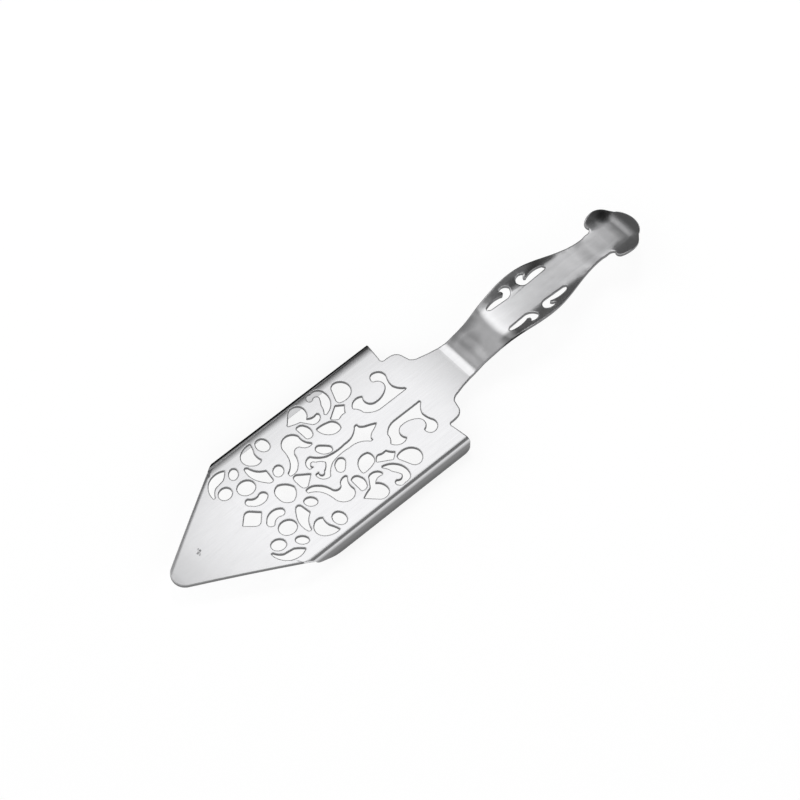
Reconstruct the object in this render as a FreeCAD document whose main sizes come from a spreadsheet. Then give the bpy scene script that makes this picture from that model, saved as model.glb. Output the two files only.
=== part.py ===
import FreeCAD, Part
import Sketcher
import math
import os

# A pierced absinthe spoon, pressed from one steel sheet. The trowel-shaped blade has its two long
# sides folded down and a scroll ornament cut through it. The handle steps up and is dished.
# While drawing, x runs from the tip to the handle's end, y across, and z is 0 on top of the blade.
# The body's placement puts the origin under the middle, level with the folds' lower edges.

doc = FreeCAD.newDocument("absinthe_spoon")

# Driving dimensions, in millimetres and degrees
SIZES = [
    ("sheet_thickness", 0.9, "thickness of the sheet"),
    ("blade_length", 85.3, "tip to shoulder, at the folds"),
    ("blade_width", 40.7, "over the two folds"),
    ("fold_height", 6.0, "top of the blade to the folds' lower edges"),
    ("fold_radius", 1.5, "outer radius of the folds"),
    ("fold_front_run", 9.3, "length over which the folds deepen at the front"),
    ("fold_rear_radius", 1.8, "round of the folds' lower rear corners"),
    ("tip_length", 30.7, "tip to the corners where the folds begin"),
    ("tip_radius", 4.1, "round of the tip"),
    ("tip_droop", 1.2, "how far the tip hangs below the blade"),
    ("shoulder_slant", 0.7, "how far the shoulder leans forward towards the notch"),
    ("scallop_width", 26.4, "over the scallop that joins blade and handle"),
    ("scallop_length", 5.6, "shoulder's inner end to the scallop's flank"),
    ("handle_length", 80.0, "shoulder at the folds to the handle's end"),
    ("neck_width", 12.05, "narrowest part between blade and grip"),
    ("neck_distance", 18.8, "shoulder to the neck"),
    ("grip_width", 16.9, "widest part of the grip"),
    ("grip_distance", 41.0, "shoulder to the middle of the grip"),
    ("waist_width", 8.25, "narrowest part between grip and end"),
    ("waist_distance", 15.9, "waist to the handle's end"),
    ("end_width", 16.3, "over the two lobes of the end"),
    ("end_length", 12.2, "notches before the lobes to the handle's end"),
    ("step_distance", 13.6, "shoulder to the foot of the step"),
    ("step_rise", 4.05, "how far the handle steps up"),
    ("step_angle", 18.7, "slope of the step"),
    ("step_radius", 11.5, "bends at the foot and head of the step"),
    ("waist_sag", 0.45, "how far the waist lies below the grip"),
    ("end_curl", 1.2, "how far the end curls down"),
    ("dish_radius", 12.3, "round of the handle's rising sides"),
    ("dish_floor", 5.0, "width of the handle's flat floor"),
    ("ornament_lead", 7.2, "first openings to the corners where the folds begin"),
    ("ornament_tail", 1.6, "last openings to the shoulder"),
    ("ornament_side", 0.3, "outermost openings to the folds' bends"),
]

sheet = doc.addObject("Spreadsheet::Sheet", "Sizes")
for row, (alias, value, note) in enumerate(SIZES, start=1):
    sheet.set("A%d" % row, note)
    sheet.set("B%d" % row, str(value))
    sheet.setAlias("B%d" % row, alias)
doc.recompute()


def size(alias):
    return float(sheet.get(alias))


CLEAR = 5.0     # how far a cutting shape stands out past the metal
LEAD = 1.0      # flat stretch before the step, and overrun past the end, of the lofted handle
ALMOST_STRAIGHT = 0.05      # an arc that bulges less than this is drawn as a line
EASE_ARCS = 4       # arcs in each long sweep of the handle's outline
EASE_SWEEP = 0.364      # share of a sweep over which its curve turns at either end
DROOP_AHEAD = 0.2       # the tip begins to hang this far before the folds' bends begin

thickness = size("sheet_thickness")
half_width = size("blade_width") / 2
flat_half_width = half_width - size("fold_radius")
shoulder = size("blade_length")
handle_end = shoulder + size("handle_length")


# Drawing helpers
def flat_places(points):
    return [FreeCAD.Vector(x, y, 0) for x, y in points]


def chain(places):
    """Arcs through each three places in turn. One that is almost straight is a line."""
    edges = []
    for first in range(0, len(places) - 2, 2):
        start, middle, end = places[first:first + 3]
        if middle.distanceToLine(start, end - start) < ALMOST_STRAIGHT:
            edges.append(Part.LineSegment(start, end))
        else:
            edges.append(Part.Arc(start, middle, end))
    return edges


def arcs_along(curve, count):
    """A smooth curve, drawn as a number of arcs."""
    places = curve.toShape().discretize(Number=2 * count + 1)
    if curve.isClosed():
        places[-1] = places[0]
    return chain(places)


def stroke(points):
    """A line through two points, an arc through three, or arcs along a smooth curve through more."""
    places = flat_places(points)
    if len(places) == 2:
        return [Part.LineSegment(*places)]
    if len(places) == 3:
        return chain(places)
    curve = Part.BSplineCurve()
    curve.interpolate(Points=places)
    return arcs_along(curve, len(places) // 2)


def ease(start, end, start_slope=0.0):
    """A curve that leaves its start at a slope and comes in level at its end."""
    reach = EASE_SWEEP * (end[0] - start[0])
    poles = [start, (start[0] + reach, start[1] + start_slope * reach), (end[0] - reach, end[1]), end]
    curve = Part.BSplineCurve()
    curve.buildFromPolesMultsKnots(flat_places(poles), [4, 4], [0.0, 1.0], False, 3)
    return arcs_along(curve, EASE_ARCS)


def smooth_loop(points):
    """Arcs along a closed curve without a corner."""
    curve = Part.BSplineCurve()
    curve.interpolate(Points=flat_places(points), PeriodicFlag=True)
    return arcs_along(curve, len(points) // 2)


def cornered(*runs):
    """Strokes round an opening. Each run starts where the one before it ended."""
    start = runs[-1][-1]
    edges = []
    for run in runs:
        edges += stroke([start] + list(run))
        start = run[-1]
    return edges


def polygon(points):
    return cornered(*[[point] for point in points])


def other_side(edges):
    """The same edges across the axis."""
    twins = [edge.copy() for edge in edges]
    for twin in twins:
        twin.mirror(FreeCAD.Vector(0, 0, 0), FreeCAD.Vector(1, 0, 0))
    return twins


def origin_plane(body, role):
    return next(plane for plane in body.Origin.OriginFeatures if plane.Role == role)


def new_sketch(body, name, role, edges=()):
    sketch = body.newObject("Sketcher::SketchObject", name)
    sketch.AttachmentSupport = (origin_plane(body, role), [""])
    sketch.MapMode = "FlatFace"
    for edge in edges:
        sketch.addGeometry(edge, False)
    return sketch


def constrained_rectangle(sketch, width, bottom, top=None):
    """A rectangle about the upright axis. Its width and its depths below z = 0 are expressions."""
    for edge in polygon([(-10, -1), (10, -1), (10, -4), (-10, -4)]):
        sketch.addGeometry(edge, False)
    for corner in range(4):
        sketch.addConstraint(Sketcher.Constraint("Coincident", corner, 2, (corner + 1) % 4, 1))
    for side, kind in ((0, "Vertical"), (2, "Vertical"), (3, "Horizontal")):
        sketch.addConstraint(Sketcher.Constraint(kind, side))
    sketch.addConstraint(Sketcher.Constraint("Symmetric", 1, 1, 1, 2, -2))
    driven = [
        (Sketcher.Constraint("DistanceX", 1, 1, 1, 2, 20.0), width),
        (Sketcher.Constraint("DistanceY", 2, 2, -1, 1, 4.0), bottom),
    ]
    if top:
        driven.append((Sketcher.Constraint("DistanceY", 1, 2, -1, 1, 1.0), top))
    else:
        sketch.addConstraint(Sketcher.Constraint("PointOnObject", 1, 2, -1))
    for constraint, expression in driven:
        number = sketch.addConstraint(constraint)
        sketch.setExpression("Constraints[%d]" % number, expression)


def cut_through(body, sketch, name):
    """Cut the sketch's area right through the body, both ways from the sketch."""
    before = body.Tip.Shape.Volume
    pocket = body.newObject("PartDesign::Pocket", name)
    pocket.Profile = sketch
    pocket.Type = "ThroughAll"
    pocket.SideType = "Symmetric"
    doc.recompute()
    if pocket.Shape.Volume >= before:
        raise RuntimeError(name + " cuts nothing")
    return pocket


def repeat_across(body, feature, name):
    """Repeat a cut on the other side of the axis."""
    mirror = body.newObject("PartDesign::Mirrored", name)
    mirror.Originals = [feature]
    mirror.MirrorPlane = (origin_plane(body, "XZ_Plane"), [""])
    body.Tip = mirror
    doc.recompute()
    return mirror


def long_edges(shape, half_breadth, height):
    """Names of the two edges along the blade at a distance from its axis and at a height."""
    names = []
    for number, edge in enumerate(shape.Edges, start=1):
        middle = edge.CenterOfMass
        if abs(abs(middle.y) - half_breadth) < 0.01 and abs(middle.z - height) < 0.01:
            names.append("Edge%d" % number)
    return names


def fold_fillet(body, name, half_breadth, height, radius):
    base = body.Tip
    fillet = body.newObject("PartDesign::Fillet", name)
    fillet.Base = (base, long_edges(base.Shape, half_breadth, height))
    fillet.setExpression("Radius", radius)
    doc.recompute()
    return fillet


body = doc.addObject("PartDesign::Body", "absinthe_spoon")
body.Label = "absinthe_spoon"

# The blade with its two folds: a block, rounded along the top, and hollowed from below
block_section = new_sketch(body, "block_section", "YZ_Plane")
constrained_rectangle(block_section, "Sizes.blade_width", "Sizes.fold_height")
block = body.newObject("PartDesign::Pad", "block")
block.Profile = block_section
flat_end = shoulder + size("step_distance") - LEAD
block.setExpression("Length", "Sizes.blade_length + Sizes.step_distance - %g" % LEAD)
doc.recompute()
fold_fillet(body, "fold_outside", half_width, 0.0, "Sizes.fold_radius")

hollow_section = new_sketch(body, "hollow_section", "YZ_Plane")
hollow_width = "Sizes.blade_width - 2 * Sizes.sheet_thickness"
constrained_rectangle(hollow_section, hollow_width, "Sizes.fold_height + 1", "Sizes.sheet_thickness")
cut_through(body, hollow_section, "hollow")
inner_radius = "Sizes.fold_radius - Sizes.sheet_thickness"
fold_fillet(body, "fold_inside", half_width - thickness, -thickness, inner_radius)

# The tip's straight edges touch its round and end at the corners where the folds begin
tip_radius = size("tip_radius")
tip_reach = math.hypot(size("tip_length") - tip_radius, half_width)
tip_angle = math.atan2(half_width, size("tip_length") - tip_radius) - math.asin(tip_radius / tip_reach)
bend_corner = size("tip_length") - size("fold_radius") / math.tan(tip_angle)
droop_start = bend_corner - DROOP_AHEAD

# The folds' front ends deepen gradually, and their rear ends are rounded below
fold_depth = size("fold_height") - thickness
FRONT_SHAPE = [(0.0, 0.0), (0.16, 0.39), (0.36, 0.6), (0.57, 0.8), (0.79, 0.95), (1.0, 1.0)]
front_curve = [
    (size("tip_length") + size("fold_front_run") * along, -thickness - fold_depth * down)
    for along, down in FRONT_SHAPE
]
below = -size("fold_height") - CLEAR
front_outline = [
    front_curve[-1],
    (front_curve[-1][0], below),
    (-CLEAR, below),
    (-CLEAR, CLEAR),
    (droop_start, CLEAR),
    (droop_start, -thickness),
    front_curve[0],
]
front_edges = cornered(front_curve[1:], *[[point] for point in front_outline[1:]])
cut_through(body, new_sketch(body, "folds_front", "XZ_Plane", front_edges), "folds_front_cut")

rear_radius = size("fold_rear_radius")
rear_centre = (shoulder - rear_radius, -size("fold_height") + rear_radius)
rear_edges = cornered(
    [
        (rear_centre[0] + rear_radius * math.sqrt(0.5), rear_centre[1] - rear_radius * math.sqrt(0.5)),
        (shoulder, rear_centre[1]),
    ],
    [(shoulder + CLEAR, rear_centre[1])],
    [(shoulder + CLEAR, below)],
    [(rear_centre[0], below)],
    [(rear_centre[0], -size("fold_height"))],
)
cut_through(body, new_sketch(body, "folds_rear", "XZ_Plane", rear_edges), "folds_rear_cut")

# The tip hangs down along one large arc that leaves the blade without a crease
droop_radius = (droop_start ** 2 + size("tip_droop") ** 2) / (2 * size("tip_droop"))
droop_turn = math.asin((droop_start + CLEAR) / droop_radius)


def droop_arc(radius):
    """Side view of one face of the tip, from the blade to past the tip."""
    return [
        (droop_start - radius * math.sin(turn), radius * math.cos(turn) - droop_radius)
        for turn in (0.0, droop_turn / 2, droop_turn)
    ]


tip_top = droop_arc(droop_radius)
tip_under = droop_arc(droop_radius - thickness)
tip_edges = cornered(tip_top[1:], [tip_under[-1]], tip_under[-2::-1], [tip_top[0]])
tip = body.newObject("PartDesign::Pad", "tip")
tip.Profile = new_sketch(body, "tip_side", "XZ_Plane", tip_edges)
tip.SideType = "Symmetric"
tip.setExpression("Length", "Sizes.blade_width - 2 * Sizes.fold_radius")
doc.recompute()

# The handle seen from the side: a step between two equal bends, then a gentle sag and the end's curl
step_angle = math.radians(size("step_angle"))
step_foot = shoulder + size("step_distance")
bend_run = size("step_radius") * math.tan(step_angle / 2)
lower_corner = step_foot + bend_run
upper_corner = lower_corner + size("step_rise") / math.tan(step_angle)
step_head = upper_corner + bend_run
grip_middle = shoulder + size("grip_distance")
waist = handle_end - size("waist_distance")
end_notch = handle_end - size("end_length")


def step_height(x):
    """Height of the handle's floor from the blade to the grip."""
    slope_start = step_foot + size("step_radius") * math.sin(step_angle)
    slope_end = step_head - size("step_radius") * math.sin(step_angle)
    if x <= step_foot:
        return 0.0
    if x < slope_start:
        return size("step_radius") - math.sqrt(size("step_radius") ** 2 - (x - step_foot) ** 2)
    if x <= slope_end:
        return (x - lower_corner) * math.tan(step_angle)
    if x < step_head:
        drop = size("step_radius") - math.sqrt(size("step_radius") ** 2 - (step_head - x) ** 2)
        return size("step_rise") - drop
    return size("step_rise")


def step_slope(x):
    """Slope of the floor, for the sheet's upright thickness."""
    reach = 0.01
    return (step_height(x + reach) - step_height(x - reach)) / (2 * reach)


def between(start, end, share):
    return start + (end - start) * share


def handle_stations():
    """Place along the handle, height of its floor and share of the full dish, for each section."""
    top = size("step_rise")
    sag = size("waist_sag")
    curl = size("end_curl")
    end_height = top - sag * 0.6
    stations = [(x, step_height(x), 0.0) for x in (
        flat_end,
        step_foot,
        between(step_foot, lower_corner, 0.55),
        lower_corner,
        between(lower_corner, upper_corner, 0.4),
    )]
    for share, dish in ((0.8, 0.05), (1.0, 0.25)):
        x = between(lower_corner, upper_corner, share)
        stations.append((x, step_height(x), dish))
    stations += [
        (step_head, top, 0.55),
        (between(step_head, grip_middle, 0.5), top, 0.95),
        (between(grip_middle, waist, 0.1), top - sag * 0.3, 1.0),
        (between(grip_middle, waist, 0.7), top - sag * 0.95, 0.92),
        (end_notch, end_height, 0.87),
        (between(end_notch, handle_end, 0.5), end_height, 0.8),
        (between(end_notch, handle_end, 0.85), end_height - curl * 0.55, 0.5),
        (handle_end + LEAD, end_height - curl * 1.3, 0.3),
    ]
    return stations


# Each section of the handle has a flat floor and sides that rise like a dish
floor = size("dish_floor") / 2
strip_half_width = max(size("grip_width"), size("end_width"), size("neck_width")) / 2 + LEAD
side_spread = strip_half_width - floor


def dish_side(side, level, lift):
    """One side of a section, a parabola that leaves the floor without a crease."""
    poles = [
        FreeCAD.Vector(side * floor, level, 0),
        FreeCAD.Vector(side * (floor + side_spread / 2), level, 0),
        FreeCAD.Vector(side * strip_half_width, level + lift, 0),
    ]
    curve = Part.BSplineCurve()
    curve.buildFromPolesMultsKnots(poles, [3, 3], [0.0, 1.0], False, 2)
    return curve


def handle_section(x, height, dish):
    depth = thickness * math.hypot(1.0, step_slope(x))
    bend = dish / size("dish_radius")
    top_lift = bend * side_spread ** 2 / 2
    under_lift = bend / (1 + bend * thickness) * side_spread ** 2 / 2
    edges = []
    for level, lift in ((height, top_lift), (height - depth, under_lift)):
        edges.append(dish_side(-1, level, lift))
        edges += stroke([(-floor, level), (floor, level)])
        edges.append(dish_side(1, level, lift))
    for side in (-strip_half_width, strip_half_width):
        edges += stroke([(side, height + top_lift), (side, height - depth + under_lift)])
    return edges


handle_profiles = []
for number, (x, height, dish) in enumerate(handle_stations()):
    name = "handle_section_%02d" % number
    profile = new_sketch(body, name, "YZ_Plane", handle_section(x, height, dish))
    profile.AttachmentOffset.Base = FreeCAD.Vector(0, 0, x)
    handle_profiles.append(profile)
doc.recompute()
handle = body.newObject("PartDesign::AdditiveLoft", "handle")
handle.Profile = handle_profiles[0]
handle.Sections = handle_profiles[1:]
doc.recompute()

# The outline seen from above, drawn on one side from the tip to the handle's end
touch = (tip_radius * (1 - math.sin(tip_angle)), tip_radius * math.cos(tip_angle))
nose_turn = math.pi / 2 - tip_angle
nose_half = (tip_radius * (1 - math.cos(nose_turn / 2)), tip_radius * math.sin(nose_turn / 2))
beyond = half_width + CLEAR
notch_x = shoulder - size("shoulder_slant")
scallop_half = size("scallop_width") / 2
NOTCH_STEP = 1.25       # from the scallop's flank out to the notch at the shoulder's inner end
SCALLOP_DRAWN = (5.6, 13.3)
END_DRAWN = (12.4, 8.45)


def scallop_place(x, y):
    """A point of the scallop, drawn from the notch and the axis."""
    return notch_x + x * size("scallop_length") / SCALLOP_DRAWN[0], y * scallop_half / SCALLOP_DRAWN[1]


def end_place(x, y):
    """A point of the end, drawn back from the handle's end and out from the axis."""
    return (
        handle_end - x * size("end_length") / END_DRAWN[0],
        y * size("end_width") / 2 / END_DRAWN[1],
    )


notch_y = scallop_half + NOTCH_STEP
shoulder_slope = size("shoulder_slant") / (half_width - notch_y)
neck = (shoulder + size("neck_distance"), size("neck_width") / 2)
grip = (grip_middle, size("grip_width") / 2)
narrow = (waist, size("waist_width") / 2)
scallop_start = scallop_place(0.5, 13.3)
scallop_end = scallop_place(8.1, 7.65)
SCALLOP = [(2.9, 13.2), (4.1, 12.75), (4.9, 11.9), (5.35, 10.8), (5.55, 9.7), (5.9, 8.8), (6.8, 8.1)]
LOBE_LEAD = [(14.0, 4.46), (12.8, 4.8)]
LOBE = [(12.75, 6.3), (12.5, 7.2), (11.6, 7.9), (10.2, 8.3), (8.7, 8.45), (7.3, 8.25), (5.7, 7.6), (4.3, 6.4)]
lobe_start = end_place(12.4, 5.3)
lobe_end = end_place(3.05, 5.0)
END_ROUND = [(1.8, 4.2), (0.7, 2.7), (0.15, 1.2)]

notch = (notch_x, notch_y)
blade_side_start = (touch[0] + (beyond - touch[1]) / math.tan(tip_angle), beyond)
blade_side_end = (shoulder + shoulder_slope * CLEAR, beyond)

half_outline = stroke([(0.0, 0.0), nose_half, touch])
half_outline += stroke([touch, blade_side_start])
half_outline += stroke([blade_side_start, blade_side_end])
half_outline += stroke([blade_side_end, notch])
half_outline += stroke([notch, scallop_place(0.05, 13.6), scallop_start])
half_outline += stroke([scallop_start] + [scallop_place(x, y) for x, y in SCALLOP] + [scallop_end])
half_outline += ease(scallop_end, neck, -0.28)
half_outline += ease(neck, grip)
half_outline += ease(grip, narrow)
half_outline += stroke([narrow] + [end_place(x, y) for x, y in LOBE_LEAD] + [lobe_start])
half_outline += stroke([lobe_start] + [end_place(x, y) for x, y in LOBE] + [lobe_end])
round_half = [lobe_end] + [end_place(x, y) for x, y in END_ROUND]
round_end = stroke(round_half + [(handle_end, 0.0)] + [(x, -y) for x, y in reversed(round_half)])
frame_edges = polygon([
    (-CLEAR, -beyond - CLEAR),
    (handle_end + 2 * CLEAR, -beyond - CLEAR),
    (handle_end + 2 * CLEAR, beyond + CLEAR),
    (-CLEAR, beyond + CLEAR),
])
outline_edges = half_outline + other_side(half_outline) + round_end + frame_edges
cut_through(body, new_sketch(body, "outline", "XY_Plane", outline_edges), "outline_cut")

# The ornament is drawn on a panel from x 23.5 to 83.7 and out to y 18.55, and fitted to the blade
PANEL_FRONT = 23.5
PANEL_LENGTH = 60.2
PANEL_HALF_WIDTH = 18.55
panel_front = size("tip_length") - size("ornament_lead")
panel_length = shoulder - size("ornament_tail") - panel_front
panel_half_width = flat_half_width - size("ornament_side")


def on_panel(points):
    """Points of the ornament's drawing, moved to their places on the blade."""
    return [
        (
            panel_front + (x - PANEL_FRONT) * panel_length / PANEL_LENGTH,
            y * panel_half_width / PANEL_HALF_WIDTH,
        )
        for x, y in points
    ]


def oval(x, y, long_half, short_half, turn):
    """A closed oval on the panel, its long side turned from the blade's axis by an angle in degrees."""
    angle = math.radians(turn)
    points = []
    for step in range(-1, 8):
        around = step * math.pi / 4
        along = long_half * math.cos(around)
        across = short_half * math.sin(around)
        points.append((
            x + along * math.cos(angle) - across * math.sin(angle),
            y + along * math.sin(angle) + across * math.cos(angle),
        ))
    return chain(flat_places(on_panel(points)))


OVALS = [
    (32.0, 8.15, 2.5, 2.2, 0),
    (26.75, 10.45, 2.0, 1.7, 20),
    (32.25, 13.5, 1.75, 1.2, 45),
    (41.6, 6.35, 1.75, 1.35, 45),
    (43.8, 15.1, 2.1, 1.75, 90),
]

BEANS = {
    "tip": [
        (29.2, 3.3), (30.4, 2.2), (32.1, 1.75), (33.9, 2.15), (34.95, 3.6),
        (33.9, 4.35), (32.3, 4.1), (30.9, 4.45), (29.3, 5.45), (28.75, 4.6),
    ],
    "flank": [
        (53.15, 3.5), (53.2, 4.75), (54.6, 5.05), (55.8, 3.95), (56.75, 2.6), (56.2, 1.6),
        (54.8, 1.7), (53.8, 2.3),
    ],
}

# Openings with corners: each list is one stroke, and the last one ends where the first begins
CORNERED = {
    "tip crescent": [
        [(23.7, 12.9), (24.6, 14.6), (26.1, 16.0), (28.0, 16.6), (29.8, 16.55), (31.2, 15.95)],
        [(30.1, 14.8), (28.5, 13.8), (27.0, 13.75), (25.8, 13.4), (24.8, 12.6), (24.0, 11.3)],
        [(23.5, 11.3)],
    ],
    "front leaf": [
        [(38.85, 5.4)],
        [(39.3, 8.6)],
        [(38.3, 9.2), (37.3, 10.1), (36.6, 11.3), (36.2, 12.5)],
        [(35.75, 12.85)],
        [(35.3, 12.6)],
        [(34.95, 10.8), (35.1, 9.2), (35.7, 7.7), (36.8, 6.0), (37.6, 5.1)],
        [(38.3, 4.95)],
    ],
    "wide crescent": [
        [(39.3, 11.5), (37.6, 12.2), (36.6, 13.5), (36.4, 14.6), (36.9, 15.9), (38.2, 17.0),
         (39.8, 17.6), (41.6, 17.6)],
        [(41.2, 16.3), (40.6, 15.2), (40.3, 13.9), (40.6, 12.0)],
    ],
    "scroll": [
        [(44.6, 3.0), (46.1, 3.9), (47.6, 5.8), (48.6, 8.0), (49.6, 8.6), (50.8, 8.1),
         (51.9, 6.8), (53.5, 6.6)],
        [(53.75, 6.95)],
        [(53.4, 7.3)],
        [(52.6, 8.1), (52.65, 10.0), (52.1, 11.8), (50.2, 12.95), (48.2, 12.4), (46.9, 10.7),
         (46.5, 8.1), (45.4, 5.8), (42.9, 3.9)],
        [(42.9, 3.05)],
    ],
    "upright": [
        [(53.6, 12.85)],
        [(55.0, 13.0), (56.2, 11.5), (56.3, 9.8), (55.2, 8.4), (53.7, 8.8)],
    ],
    "rear leaf": [
        [(57.9, 7.0), (59.2, 5.5), (61.2, 4.9), (62.9, 5.6), (62.8, 7.2), (61.6, 8.7),
         (59.8, 9.1), (58.1, 9.25)],
        [(57.5, 9.1)],
    ],
    "star": [
        [(63.3, 8.0), (64.1, 7.6)],
        [(65.3, 8.05), (66.5, 8.0)],
        [(67.1, 9.0), (68.0, 9.9)],
        [(67.0, 10.6), (66.1, 11.3)],
        [(64.6, 10.4), (63.4, 9.65), (62.4, 9.0)],
    ],
    "teardrop": [
        [(69.5, 10.9), (71.6, 11.5), (73.0, 13.3), (72.7, 15.3), (71.2, 16.6), (69.6, 16.6),
         (68.7, 15.6)],
        [(67.3, 12.2)],
        [(67.5, 11.35)],
    ],
    "duck": [
        [(54.5, 14.2), (56.4, 13.4), (57.2, 11.5), (58.8, 10.7), (61.0, 11.8)],
        [(61.2, 12.4)],
        [(60.8, 12.8)],
        [(59.0, 12.7), (57.7, 13.5)],
        [(58.9, 14.8), (59.2, 16.9), (57.7, 18.4), (55.6, 18.1), (54.0, 16.6), (52.5, 15.0)],
    ],
    "hook": [
        [(64.6, 11.8), (66.2, 13.6), (66.75, 16.2), (65.7, 18.2), (63.6, 18.5)],
        [(62.0, 18.2), (61.7, 17.1), (62.6, 16.7)],
        [(64.1, 17.0), (64.8, 16.1), (63.7, 14.3), (63.1, 12.6), (62.25, 11.3)],
        [(62.5, 10.95)],
    ],
    "long scroll": [
        [(75.0, 2.65)],
        [(72.2, 3.2), (70.3, 4.8)],
        [(69.9, 6.3), (68.95, 7.4)],
        [(70.8, 9.1), (73.25, 8.7)],
        [(72.75, 6.5), (74.9, 4.9), (77.9, 5.4), (80.1, 7.1), (80.2, 8.7), (78.5, 10.1)],
        [(78.5, 11.2), (80.1, 12.1), (82.1, 11.0), (82.2, 9.0), (81.3, 6.7), (82.0, 4.5), (83.5, 3.0)],
        [(83.5, 2.65)],
    ],
}

side_openings = []
for numbers in OVALS:
    side_openings += oval(*numbers)
for points in BEANS.values():
    side_openings += smooth_loop(on_panel(points))
for runs in CORNERED.values():
    side_openings += cornered(*[on_panel(run) for run in runs])
side_sketch = new_sketch(body, "ornament_side", "XY_Plane", side_openings)
repeat_across(body, cut_through(body, side_sketch, "ornament_side_cut"), "ornament_other_side")

# Openings on the axis. The strokes marked across run over the axis, the others have a twin.
ACROSS = {
    "egg": [
        (41.45, 0.0), (40.4, 1.9), (38.5, 3.1), (36.7, 2.2), (36.1, 0.0),
        (36.7, -2.2), (38.5, -3.1), (40.4, -1.9), (41.45, 0.0),
    ],
    "shield": [
        (44.3, 2.2), (43.6, 2.3), (42.95, 1.8), (42.75, 1.0), (42.75, 0.0),
        (42.75, -1.0), (42.95, -1.8), (43.6, -2.3), (44.3, -2.2),
    ],
    "trident": [
        (49.0, 1.1), (49.8, 2.6), (50.8, 1.6), (52.1, 0.9), (52.6, 0.0),
        (52.1, -0.9), (50.8, -1.6), (49.8, -2.6), (49.0, -1.1),
    ],
}
BESIDE = [
    [(23.7, 0.0), (26.0, 2.1)],
    [(26.0, 2.1), (26.95, 2.5), (27.8, 2.25)],
    [(27.8, 2.25), (30.0, 0.0)],
    [(44.3, 2.2), (47.2, 0.0)],
    [(49.0, 1.1), (48.0, 1.2)],
    [(48.0, 1.2), (48.4, 3.1), (50.0, 4.2), (51.8, 2.6), (53.9, 1.15)],
    [(53.9, 1.15), (57.0, 0.65), (61.0, 0.9), (63.7, 1.45), (65.6, 3.1)],
    [(65.6, 3.1), (66.2, 3.15)],
    [(66.2, 3.15), (66.3, 2.3)],
    [(66.3, 2.3), (66.8, 1.75), (67.8, 1.2), (69.0, 0.7), (70.4, 0.0)],
]
axis_openings = []
for points in ACROSS.values():
    axis_openings += stroke(on_panel(points))
for points in BESIDE:
    edges = stroke(on_panel(points))
    axis_openings += edges + other_side(edges)
cut_through(body, new_sketch(body, "ornament_axis", "XY_Plane", axis_openings), "ornament_axis_cut")

# Two hooked slots on either side of the grip, drawn from the grip's middle. In the drawing the grip
# is this wide a side, and its middle lies this far from the slope's upper corner and from the waist.
GRIP_HALF_WIDTH = 8.45
GRIP_BEFORE = 12.9
GRIP_BEHIND = 23.1


def on_grip(points):
    """Points of the slots' drawing, moved to their places on the grip."""
    places = []
    for x, y in points:
        scale = (waist - grip_middle) / GRIP_BEHIND
        if x < 0:
            scale = (grip_middle - upper_corner) / GRIP_BEFORE
        places.append((grip_middle + x * scale, y * size("grip_width") / 2 / GRIP_HALF_WIDTH))
    return places


FRONT_SLOT = [
    [(-5.1, 3.45)],
    [(-3.2, 4.3), (-2.5, 6.3), (-4.0, 6.75), (-5.5, 6.25)],
    [(-4.95, 5.9), (-4.85, 5.25)],
    [(-5.5, 4.85)],
    [(-8.3, 5.3), (-11.0, 4.8)],
    [(-11.35, 4.25)],
    [(-10.5, 3.7)],
]
REAR_SLOT = [
    [(0.5, 4.1), (2.2, 3.45)],
    [(8.7, 3.7)],
    [(9.45, 4.05)],
    [(8.9, 4.95)],
    [(6.1, 5.45), (2.8, 4.8)],
    [(2.35, 5.15)],
    [(2.6, 5.75), (3.4, 6.15)],
    [(1.5, 6.75), (-0.1, 5.4)],
]
slots = []
for runs in (FRONT_SLOT, REAR_SLOT):
    slots += cornered(*[on_grip(run) for run in runs])
slot_sketch = new_sketch(body, "grip_slots", "XY_Plane", slots)
repeat_across(body, cut_through(body, slot_sketch, "grip_slots_cut"), "grip_slots_other_side")

# The origin lies under the middle of the spoon, on the surface that the folds rest on
body.setExpression("Placement.Base.x", "-(Sizes.blade_length + Sizes.handle_length) / 2")
body.setExpression("Placement.Base.z", "Sizes.fold_height")
doc.recompute()

for item in doc.Objects:
    if "Invalid" in item.State or "Error" in item.State:
        raise RuntimeError(item.Name + " failed: " + str(item.State))
spoon = body.Shape
if spoon.isNull() or not spoon.isValid() or len(spoon.Solids) != 1:
    raise RuntimeError("the spoon isn't one valid solid")
os.makedirs("parts", exist_ok=True)
spoon.exportStep("parts/" + body.Label + ".step")
box = spoon.BoundBox
print("box %.2f x %.2f x %.2f mm" % (box.XLength, box.YLength, box.ZLength))
print("lowest %.3f mm, volume %.0f mm3, faces %d" % (box.ZMin, spoon.Volume, len(spoon.Faces)))
print("centre of gravity", spoon.CenterOfGravity)
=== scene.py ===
# Looks of the absinthe spoon: satin steel on a pale floor, seen as in the photograph. Metres.
from math import cos, pi, radians, sin, tan

import bpy
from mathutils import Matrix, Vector


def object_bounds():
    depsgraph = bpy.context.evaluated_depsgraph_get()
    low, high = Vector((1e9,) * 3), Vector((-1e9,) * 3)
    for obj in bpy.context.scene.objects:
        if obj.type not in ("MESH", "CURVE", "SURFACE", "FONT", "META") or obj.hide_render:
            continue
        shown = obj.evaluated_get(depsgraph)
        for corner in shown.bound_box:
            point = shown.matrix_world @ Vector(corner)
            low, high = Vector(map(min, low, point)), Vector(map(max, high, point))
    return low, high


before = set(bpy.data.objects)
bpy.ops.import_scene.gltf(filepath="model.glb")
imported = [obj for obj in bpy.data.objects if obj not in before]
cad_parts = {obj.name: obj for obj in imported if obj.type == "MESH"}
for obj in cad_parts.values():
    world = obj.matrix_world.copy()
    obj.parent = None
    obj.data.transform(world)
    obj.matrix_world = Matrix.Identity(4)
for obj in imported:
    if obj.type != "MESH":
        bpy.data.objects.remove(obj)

MM = 0.001
cad_low, cad_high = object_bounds()

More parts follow.
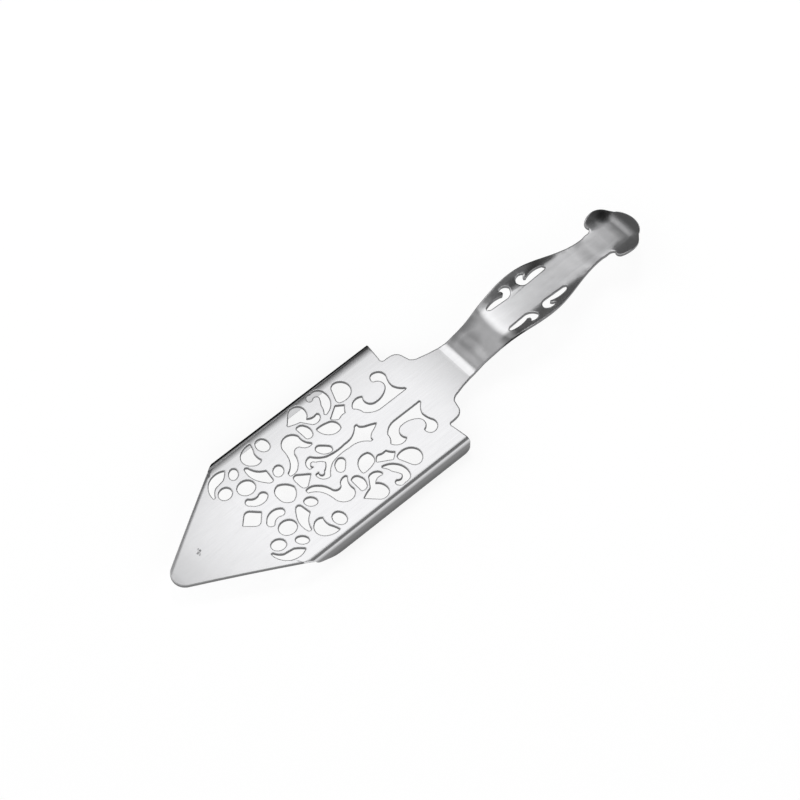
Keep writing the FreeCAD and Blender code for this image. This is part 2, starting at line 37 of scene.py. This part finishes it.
# Camera
CAMERA_AZIMUTH = -42.62
CAMERA_ELEVATION = 57.18
CAMERA_DISTANCE = 1016.7 * MM
CAMERA_LENS = 173.2
CAMERA_CLIP = (0.01, 100.0)
SENSOR_WIDTH = 36.0
LOOK_FROM_TIP = 79.83 * MM
LOOK_ACROSS = 1.01 * MM

# Places on the spoon, in its own frame: along it from the tip, across it from its axis.
# The bends of the folds begin at FLAT_HALF_WIDTH, and their outer faces lie at HALF_WIDTH.
TIP = cad_low.x
BLADE_TOP = 6.0 * MM
FLAT_HALF_WIDTH = 18.85 * MM
INSIDE_FOLDS = FLAT_HALF_WIDTH - 0.1 * MM
HALF_WIDTH = 20.35 * MM
HANDLE_START = TIP + 99.0 * MM
GRIP_START = TIP + 113.0 * MM

# Rounding of the sharp edges, less on the handle. Angles in degrees.
WELD_DISTANCE = 0.001 * MM
FLAT_ANGLE = 0.3
SHARP_ANGLE = 40
EDGE_ROUND = 0.15 * MM
EDGE_SEGMENTS = 3
HANDLE_EDGES = (HANDLE_START + 6 * MM, HANDLE_START + 9 * MM, 1.0, 0.4)

# Here and below, a ramp is a start and an end, with the values before and after where they
# aren't 0 and 1. Steel in general: noise is a stretch and a detail.
STEEL_GREY = (0.66, 0.66, 0.67)
GRAIN = ((140.0, 2600.0, 2600.0), 3.0)
CLOUD = ((150.0, 250.0, 250.0), 1.5)
ROUGHNESS = 0.14
GRAIN_ROUGHNESS = 0.08
CLOUD_ROUGHNESS = 0.06
CUT_ROUGHNESS = 0.2
CLOUD_TONE = (0.08, 0.96)

# Painted shade on the cut edges, on the rims beside them and on the folds: 0 is none and 1 is
# black
CUT_SHADE = 0.72
CUT_LEVEL = (HANDLE_START - 2 * MM, HANDLE_START, 0.985, 0.86)
CUT_SPAN = 0.3
RIM_WIDTH = 0.5 * MM
RIM_SAMPLES = 8
RIM_TURN = (0.84, 0.985, 0.7, 0.0)
FOLD_FACE = (HALF_WIDTH - 0.6 * MM, HALF_WIDTH - 0.2 * MM)
FOLD_TOP = BLADE_TOP - 0.5 * MM
FOLD_MIDDLE = BLADE_TOP - 2.2 * MM
FOLD_SHADE = 0.75
FOLD_FOOT_SHADE = 0.9
# Painted shade on the far bend, which also dims its reflection
FAR_BEND = (FLAT_HALF_WIDTH - 0.2 * MM, FLAT_HALF_WIDTH + 0.6 * MM, 0.0, 0.88)
FAR_BEND_DEPTH = (BLADE_TOP - 1.6 * MM, BLADE_TOP - 1.2 * MM)

# Painted shade on the handle: a darker patch and the far side of the slope, and the flanks where
# the grip starts; and a painted dark reflection on a lobe at the end
SLOPE_BEGINS = (HANDLE_START + 1 * MM, HANDLE_START + 4 * MM)
SLOPE_ENDS = (GRIP_START - 3.5 * MM, GRIP_START - 0.5 * MM)
SLOPE_SIDE = (2.2 * MM, 6.0 * MM, 0.0, 0.5)
PAINTED_SHADE_PATCH = (TIP + 105.0 * MM, 1.5 * MM, 0.0)
PAINTED_SHADE_PATCH_FADE = (1.2 * MM, 4.5 * MM, 0.34, 0.0)
FLANKS_END = (GRIP_START + 2.5 * MM, GRIP_START + 5 * MM, 1.0, 0.0)
NEAR_FLANK = (-3.8 * MM, -5.2 * MM, 0.0, 0.62)
FAR_FLANK = (4.2 * MM, 5.6 * MM, 0.0, 0.28)
LOBE_DARK_REFLECTION = (TIP + 159.0 * MM, 5.3 * MM, 10.0 * MM)
LOBE_DARK_REFLECTION_FADE = (1.0 * MM, 2.8 * MM, 0.62, 0.0)

# Rolls, where the top leans over towards an edge: width, and slope at the edge
FAR_ROLL = (2.0 * MM, 0.13)
BROAD_ROLL = (15.0 * MM, 0.045)
NEAR_ROLL_EDGE = FLAT_HALF_WIDTH + 0.5 * MM
NEAR_ROLL = (0.5 * MM, -0.15)
NECK_ROLL_EDGE = TIP + 97.0 * MM
NECK_ROLL = (12.0 * MM, 0.05)
TIP_CORNER = (TIP + 30.7 * MM, 20.35 * MM, BLADE_TOP)
TIP_EDGE_OUT = (-0.506, 0.862, 0.0)
TIP_ROLL = (1.1 * MM, 0.22)
ROLL_PAST_EDGE = 1.5 * MM

# Other relief. A sweep along the handle is a start, an end and a rise, in millimetres. A stroke
# of the mark near the tip is a turn in degrees, a length and a width.
HANDLE_SWEEPS = [
    (117.0, 141.0, -0.35),
    (144.0, 159.0, -0.75),
    (159.0, 163.0, 0.22),
]
DISH_BEGINS = (HANDLE_START + 10 * MM, GRIP_START)
DISH_SIDE = (0.6 * MM, 4.4 * MM)
DISH_RISE = 0.035 * MM
WAIST_BEGINS = (TIP + 131.0 * MM, TIP + 136.0 * MM)
WAIST_ENDS = (TIP + 149.0 * MM, TIP + 154.0 * MM, 1.0, 0.0)
WAIST_SIDE = (2.0 * MM, 5.5 * MM)
WAIST_RISE = -0.15 * MM
CLOUD_RISE = (HANDLE_START, HANDLE_START + 4 * MM, 0.003 * MM, 0.036 * MM)
MARK_PLACE = (TIP + 10.4 * MM, 2.0 * MM, BLADE_TOP)
MARK_STROKES = [(62, 2.4 * MM, 0.28 * MM), (8, 1.8 * MM, 0.25 * MM)]
MARK_RISE = 0.06 * MM
STROKE_FADE = 0.3
GRAIN_RISE = 0.0003 * MM

# Studio. The room's light changes over patches: azimuth, elevation, inner and outer radius in
# degrees, and level. Low over the floor it is 1, up to HORIZON_TOP degrees.
ROOM_LIGHT = 1.08
PATCHES = [
    (35, 12, 44, 74, 0.1),
    (0, 90, 20, 44, 0.4),
    (-45, 60, 14, 32, 0.22),
    (0, 52, 11, 19, 0.02),
]
HORIZON_TOP = 9.0
HORIZON_FADE = 3.0

# Round soft lamps hang in one direction from the spoon: radius in degrees and level. The power
# is in watts for each square metre of a lamp of level 1.
LAMP_TOWARDS = (51.0, 61.0)
LAMP_DISTANCE = 700 * MM
LAMPS = [(8.5, 0.45), (12.5, 0.35), (17.5, 0.25)]
LAMP_POWER = 8.1

# Stage
FLOOR_SIZE = 12.0
FLOOR_ALBEDO = 0.25
FLOOR_GLOW = 0.83


class Nodes:
    """Short calls that add nodes to one tree."""

    def __init__(self, tree):
        self.tree = tree
        self.tree.nodes.clear()

    def add(self, kind, inputs=None, **settings):
        node = self.tree.nodes.new(kind)
        for name, value in settings.items():
            setattr(node, name, value)
        for name, value in (inputs or {}).items():
            self.feed(node.inputs[name], value)
        return node

    def feed(self, socket, value):
        if isinstance(value, bpy.types.NodeSocket):
            self.tree.links.new(value, socket)
        else:
            socket.default_value = value

    def feed_in_order(self, node, values):
        for socket, value in zip(node.inputs, values):
            self.feed(socket, value)

    def maths(self, operation, *values, clamp=False):
        node = self.add("ShaderNodeMath", operation=operation, use_clamp=clamp)
        self.feed_in_order(node, values)
        return node.outputs[0]

    def chain(self, operation, first, *others):
        """One operation over many values, from the first to the last."""
        for other in others:
            first = self.maths(operation, first, other)
        return first

    def vector(self, operation, *values):
        node = self.add("ShaderNodeVectorMath", operation=operation)
        self.feed_in_order(node, values)
        return node.outputs["Value" if operation in ("DOT_PRODUCT", "DISTANCE") else "Vector"]

    def ramp(self, value, start, end, low=0.0, high=1.0):
        """Low before start, high after end, and a smooth way between."""
        node = self.add("ShaderNodeMapRange", interpolation_type="SMOOTHSTEP")
        self.feed_in_order(node, (value, start, end, low, high))
        return node.outputs[0]

    def noise(self, place, stretch, detail):
        stretched = self.vector("MULTIPLY", place, stretch)
        inputs = {"Vector": stretched, "Scale": 1.0, "Detail": detail}
        return self.add("ShaderNodeTexNoise", inputs).outputs["Fac"]

    def split(self, vector):
        return self.add("ShaderNodeSeparateXYZ", {"Vector": vector}).outputs


def new_material(name):
    material = bpy.data.materials.new(name)
    material.use_nodes = True
    return material, Nodes(material.node_tree)


def stroke(nodes, place, turn, length, width):
    """A short stroke of the mark: 1 along its middle, fading to 0 at its ends and sides."""
    turn = radians(turn)
    apart = nodes.vector("SUBTRACT", place, MARK_PLACE)
    along = nodes.vector("DOT_PRODUCT", apart, (cos(turn), sin(turn), 0.0))
    aside = nodes.vector("DOT_PRODUCT", apart, (-sin(turn), cos(turn), 0.0))
    along = nodes.maths("ABSOLUTE", along)
    ends = nodes.ramp(along, STROKE_FADE * length, 0.5 * length, 1.0, 0.0)
    sides = nodes.ramp(nodes.maths("ABSOLUTE", aside), 0.0, width, 1.0, 0.0)
    return nodes.maths("MULTIPLY", ends, sides)


def roll(nodes, outwards, edge, width, slope):
    """The sheet's top leans over towards an edge or a bend, more and more over a width."""
    past = nodes.maths("SUBTRACT", outwards, edge - width)
    past = nodes.maths("MINIMUM", nodes.maths("MAXIMUM", past, 0.0), width + ROLL_PAST_EDGE)
    return nodes.maths("MULTIPLY", nodes.maths("POWER", past, 2.0), -slope / (2 * width))


def steel_height(nodes, place, grain, cloud):
    """Fine relief in metres: rolls, an uneven handle, a small mark near the tip, and grain."""
    x, y = nodes.split(place)[:2]
    past_tip_edge = nodes.vector("SUBTRACT", place, TIP_CORNER)
    past_tip_edge = nodes.vector("DOT_PRODUCT", past_tip_edge, TIP_EDGE_OUT)
    height = nodes.chain(
        "ADD",
        roll(nodes, y, FLAT_HALF_WIDTH, *FAR_ROLL),
        roll(nodes, nodes.maths("MULTIPLY", y, -1.0), NEAR_ROLL_EDGE, *NEAR_ROLL),
        roll(nodes, past_tip_edge, 0.0, *TIP_ROLL),
        roll(nodes, y, FLAT_HALF_WIDTH, *BROAD_ROLL),
        roll(nodes, x, NECK_ROLL_EDGE, *NECK_ROLL),
    )
    for start, end, rise in HANDLE_SWEEPS:
        sweep = nodes.ramp(x, TIP + start * MM, TIP + end * MM, 0.0, rise * MM)
        height = nodes.maths("ADD", height, sweep)
    aside = nodes.maths("ABSOLUTE", y)
    dish = nodes.maths("MULTIPLY", nodes.ramp(aside, *DISH_SIDE), nodes.ramp(x, *DISH_BEGINS))
    on_waist = nodes.maths(
        "MULTIPLY", nodes.ramp(x, *WAIST_BEGINS), nodes.ramp(x, *WAIST_ENDS)
    )
    shoulder = nodes.maths("MULTIPLY", nodes.ramp(aside, *WAIST_SIDE), on_waist)
    mark = nodes.chain("MAXIMUM", *[stroke(nodes, place, *sizes) for sizes in MARK_STROKES])
    for part, rise in (
        (dish, DISH_RISE),
        (shoulder, WAIST_RISE),
        (cloud, nodes.ramp(x, *CLOUD_RISE)),
        (mark, MARK_RISE),
        (grain, GRAIN_RISE),
    ):
        height = nodes.maths("MULTIPLY_ADD", part, rise, height)
    return height


def fold_shade(nodes, aside, z):
    """Painted shade: the outer faces of the folds darken downwards."""
    on_fold = nodes.ramp(aside, *FOLD_FACE)
    upper = nodes.ramp(z, FOLD_TOP, FOLD_MIDDLE, 0.0, FOLD_SHADE)
    lower = nodes.ramp(z, FOLD_MIDDLE, 0.0, 0.0, FOLD_FOOT_SHADE - FOLD_SHADE)
    return nodes.maths("MULTIPLY", on_fold, nodes.maths("ADD", upper, lower))


def handle_shade(nodes, place, x, y):
    """Painted shade on the slope up to the grip and on the grip's flanks, and a painted dark
    reflection on a lobe at the end.
    """
    from_above = nodes.vector("MULTIPLY", place, (1.0, 1.0, 0.0))
    shade_patch = nodes.ramp(nodes.vector("DISTANCE", from_above, PAINTED_SHADE_PATCH), *PAINTED_SHADE_PATCH_FADE)
    lobe = nodes.ramp(nodes.vector("DISTANCE", place, LOBE_DARK_REFLECTION), *LOBE_DARK_REFLECTION_FADE)
    past_slope = nodes.ramp(x, *SLOPE_ENDS)
    on_slope = nodes.maths("SUBTRACT", nodes.ramp(x, *SLOPE_BEGINS), past_slope)
    slope = nodes.maths("MULTIPLY", on_slope, nodes.ramp(y, *SLOPE_SIDE))
    flanks = nodes.maths("ADD", nodes.ramp(y, *NEAR_FLANK), nodes.ramp(y, *FAR_FLANK))
    flanks = nodes.chain("MULTIPLY", flanks, past_slope, nodes.ramp(x, *FLANKS_END))
    return nodes.chain("MAXIMUM", shade_patch, lobe, slope, flanks)


def steel_material():
    material, nodes = new_material("satin_steel")
    place = nodes.add("ShaderNodeTexCoord").outputs["Object"]
    x, y, z = nodes.split(place)
    aside = nodes.maths("ABSOLUTE", y)
    grain = nodes.noise(place, *GRAIN)
    cloud = nodes.noise(place, *CLOUD)

    # Cut faces stand steeply inside the folds. Rims are where the normal turns within RIM_WIDTH.
    # Both are darkened with painted shade.
    normal = nodes.add("ShaderNodeNewGeometry").outputs["Normal"]
    upright = nodes.maths("ABSOLUTE", nodes.split(normal)[2])
    level = nodes.ramp(x, *CUT_LEVEL)
    steep = nodes.ramp(upright, nodes.maths("SUBTRACT", level, CUT_SPAN), level, 1.0, 0.0)
    inside = nodes.ramp(aside, INSIDE_FOLDS, FLAT_HALF_WIDTH, 1.0, 0.0)
    cut = nodes.maths("MULTIPLY", steep, inside)
    rounded = nodes.add("ShaderNodeBevel", {"Radius": RIM_WIDTH}, samples=RIM_SAMPLES).outputs[0]
    rim = nodes.ramp(nodes.vector("DOT_PRODUCT", rounded, normal), *RIM_TURN)
    rim = nodes.maths("MULTIPLY", rim, inside)

    # Painted shade on the far bend; through the specular tint it also paints a dimmer reflection
    far_bend_shade = nodes.ramp(y, *FAR_BEND)
    far_bend_shade = nodes.maths("MULTIPLY", far_bend_shade, nodes.ramp(z, *FAR_BEND_DEPTH))
    shade = nodes.chain(
        "MAXIMUM",
        fold_shade(nodes, aside, z),
        far_bend_shade,
        handle_shade(nodes, place, x, y),
    )
    shade = nodes.maths("MAXIMUM", nodes.maths("MULTIPLY_ADD", cut, CUT_SHADE, shade), rim)
    tone = nodes.maths("SUBTRACT", 1.0, shade)
    tone = nodes.maths("MULTIPLY", tone, nodes.maths("MULTIPLY_ADD", cloud, *CLOUD_TONE))
    colour = nodes.vector("SCALE", STEEL_GREY)
    nodes.feed(colour.node.inputs["Scale"], tone)

    roughness = nodes.maths("MULTIPLY_ADD", grain, GRAIN_ROUGHNESS, ROUGHNESS)
    roughness = nodes.maths("MULTIPLY_ADD", cloud, CLOUD_ROUGHNESS, roughness)
    roughness = nodes.maths("MULTIPLY_ADD", cut, CUT_ROUGHNESS, roughness)
    relief = steel_height(nodes, place, grain, cloud)
    bump = nodes.add("ShaderNodeBump", {"Height": relief, "Distance": 1.0, "Normal": rounded})
    # The far bend's painted shade also lowers the specular tint: a painted dimmer reflection
    shader = nodes.add(
        "ShaderNodeBsdfPrincipled",
        {
            "Base Color": colour,
            "Metallic": 1.0,
            "Roughness": roughness,
            "Specular Tint": nodes.maths("SUBTRACT", 1.0, far_bend_shade),
            "Normal": bump.outputs[0],
        },
    )
    nodes.add("ShaderNodeOutputMaterial", {"Surface": shader.outputs[0]})
    return material


def floor_material():
    """A pale floor that glows white where the camera sees it, or its reflection."""
    material, nodes = new_material("pale_floor")
    path = nodes.add("ShaderNodeLightPath").outputs
    seen = nodes.maths("ADD", path["Is Camera Ray"], path["Is Glossy Ray"])
    seen = nodes.maths("ADD", seen, path["Is Transmission Ray"], clamp=True)
    glow = nodes.maths("MULTIPLY", seen, FLOOR_GLOW)
    diffuse = nodes.add("ShaderNodeBsdfDiffuse", {"Color": (FLOOR_ALBEDO,) * 3 + (1.0,)})
    emission = nodes.add("ShaderNodeEmission", {"Strength": glow})
    both = nodes.add("ShaderNodeAddShader")
    nodes.feed_in_order(both, (diffuse.outputs[0], emission.outputs[0]))
    nodes.add("ShaderNodeOutputMaterial", {"Surface": both.outputs[0]})
    return material


def edge_choice():
    """Marks the sharp edges that are rounded: all but those of the folded sides."""
    tree = bpy.data.node_groups.new("edge_choice", "GeometryNodeTree")
    for way in ("INPUT", "OUTPUT"):
        tree.interface.new_socket("Geometry", in_out=way, socket_type="NodeSocketGeometry")
    nodes = Nodes(tree)
    angle = nodes.add("GeometryNodeInputMeshEdgeAngle").outputs["Unsigned Angle"]
    sharp = nodes.maths("GREATER_THAN", angle, radians(SHARP_ANGLE))
    x, y = nodes.split(nodes.add("GeometryNodeInputPosition").outputs["Position"])[:2]
    inside = nodes.maths("LESS_THAN", nodes.maths("ABSOLUTE", y), INSIDE_FOLDS)
    weight = nodes.chain("MULTIPLY", sharp, inside, nodes.ramp(x, *HANDLE_EDGES))
    store = nodes.add("GeometryNodeStoreNamedAttribute", data_type="FLOAT", domain="EDGE")
    nodes.feed(store.inputs["Geometry"], nodes.add("NodeGroupInput").outputs["Geometry"])
    nodes.feed(store.inputs["Name"], "bevel_weight_edge")
    nodes.feed(store.inputs["Value"], weight)
    nodes.feed(nodes.add("NodeGroupOutput").inputs["Geometry"], store.outputs["Geometry"])
    return tree


def dress_spoon():
    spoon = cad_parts["absinthe_spoon"]
    spoon.data.materials.clear()
    spoon.data.materials.append(steel_material())
    weld = spoon.modifiers.new("weld", "WELD")
    weld.merge_threshold = WELD_DISTANCE
    flat = spoon.modifiers.new("join_flat_faces", "DECIMATE")
    flat.decimate_type = "DISSOLVE"
    flat.angle_limit = radians(FLAT_ANGLE)
    choice = spoon.modifiers.new("edge_choice", "NODES")
    choice.node_group = edge_choice()
    bevel = spoon.modifiers.new("edge_round", "BEVEL")
    bevel.width = EDGE_ROUND
    bevel.segments = EDGE_SEGMENTS
    bevel.limit_method = "WEIGHT"
    bevel.use_clamp_overlap = False
    normals = spoon.modifiers.new("face_normals", "WEIGHTED_NORMAL")
    normals.keep_sharp = True


def make_floor():
    bpy.ops.mesh.primitive_plane_add(size=FLOOR_SIZE)
    floor = bpy.context.object
    floor.name = "floor"
    floor.data.materials.append(floor_material())


def towards(azimuth, elevation):
    """Unit vector for an azimuth from +X and an elevation, in degrees."""
    around, above = radians(azimuth), radians(elevation)
    return cos(around) * cos(above), sin(around) * cos(above), sin(above)


def make_world():
    """A soft studio: a pale room with a dim far side, a grey ceiling and two darker patches."""
    world = bpy.data.worlds.new("studio")
    bpy.context.scene.world = world
    world.use_nodes = True
    nodes = Nodes(world.node_tree)
    direction = nodes.add("ShaderNodeTexCoord").outputs["Generated"]

    def mix(factor, first, second):
        inputs = {"Factor": factor, "A": first, "B": second}
        return nodes.add("ShaderNodeMix", inputs).outputs["Result"]

    light = ROOM_LIGHT
    for azimuth, elevation, inner, outer, level in PATCHES:
        nearness = nodes.vector("DOT_PRODUCT", direction, towards(azimuth, elevation))
        there = nodes.ramp(nearness, cos(radians(outer)), cos(radians(inner)))
        light = mix(there, light, level)
    height = nodes.split(direction)[2]
    fade_from = HORIZON_TOP - HORIZON_FADE
    horizon = nodes.ramp(height, sin(radians(HORIZON_TOP)), sin(radians(fade_from)))
    inputs = {"Color": (1.0, 1.0, 1.0, 1.0), "Strength": mix(horizon, light, 1.0)}
    background = nodes.add("ShaderNodeBackground", inputs)
    nodes.add("ShaderNodeOutputWorld", {"Surface": background.outputs[0]})


def make_lamps():
    """Round lamps of one centre, one inside the other, that together make a soft-edged one."""
    middle = Vector((0.0, 0.0, BLADE_TOP))
    away = Vector(towards(*LAMP_TOWARDS))
    for number, (radius, level) in enumerate(LAMPS):
        size = LAMP_DISTANCE * tan(radians(radius))
        data = bpy.data.lights.new("lamp_%d" % number, "AREA")
        data.shape = "DISK"
        data.size = 2 * size
        data.energy = LAMP_POWER * level * pi * size ** 2
        lamp = bpy.data.objects.new(data.name, data)
        bpy.context.scene.collection.objects.link(lamp)
        lamp.location = middle + away * LAMP_DISTANCE
        lamp.rotation_mode = "QUATERNION"
        lamp.rotation_quaternion = (-away).to_track_quat("-Z", "Y")


def make_camera():
    data = bpy.data.cameras.new("camera")
    data.lens = CAMERA_LENS
    data.sensor_width = SENSOR_WIDTH
    data.clip_start, data.clip_end = CAMERA_CLIP
    camera = bpy.data.objects.new("camera", data)
    bpy.context.scene.collection.objects.link(camera)
    azimuth, elevation = radians(CAMERA_AZIMUTH), radians(CAMERA_ELEVATION)
    back = Vector((sin(azimuth) * cos(elevation), -cos(azimuth) * cos(elevation), sin(elevation)))
    target = Vector((TIP + LOOK_FROM_TIP, LOOK_ACROSS, BLADE_TOP))
    camera.location = target + back * CAMERA_DISTANCE
    camera.rotation_mode = "QUATERNION"
    camera.rotation_quaternion = (-back).to_track_quat("-Z", "Y")
    bpy.context.scene.camera = camera


dress_spoon()
make_floor()
make_world()
make_lamps()
make_camera()
bpy.context.scene.view_settings.view_transform = "Standard"
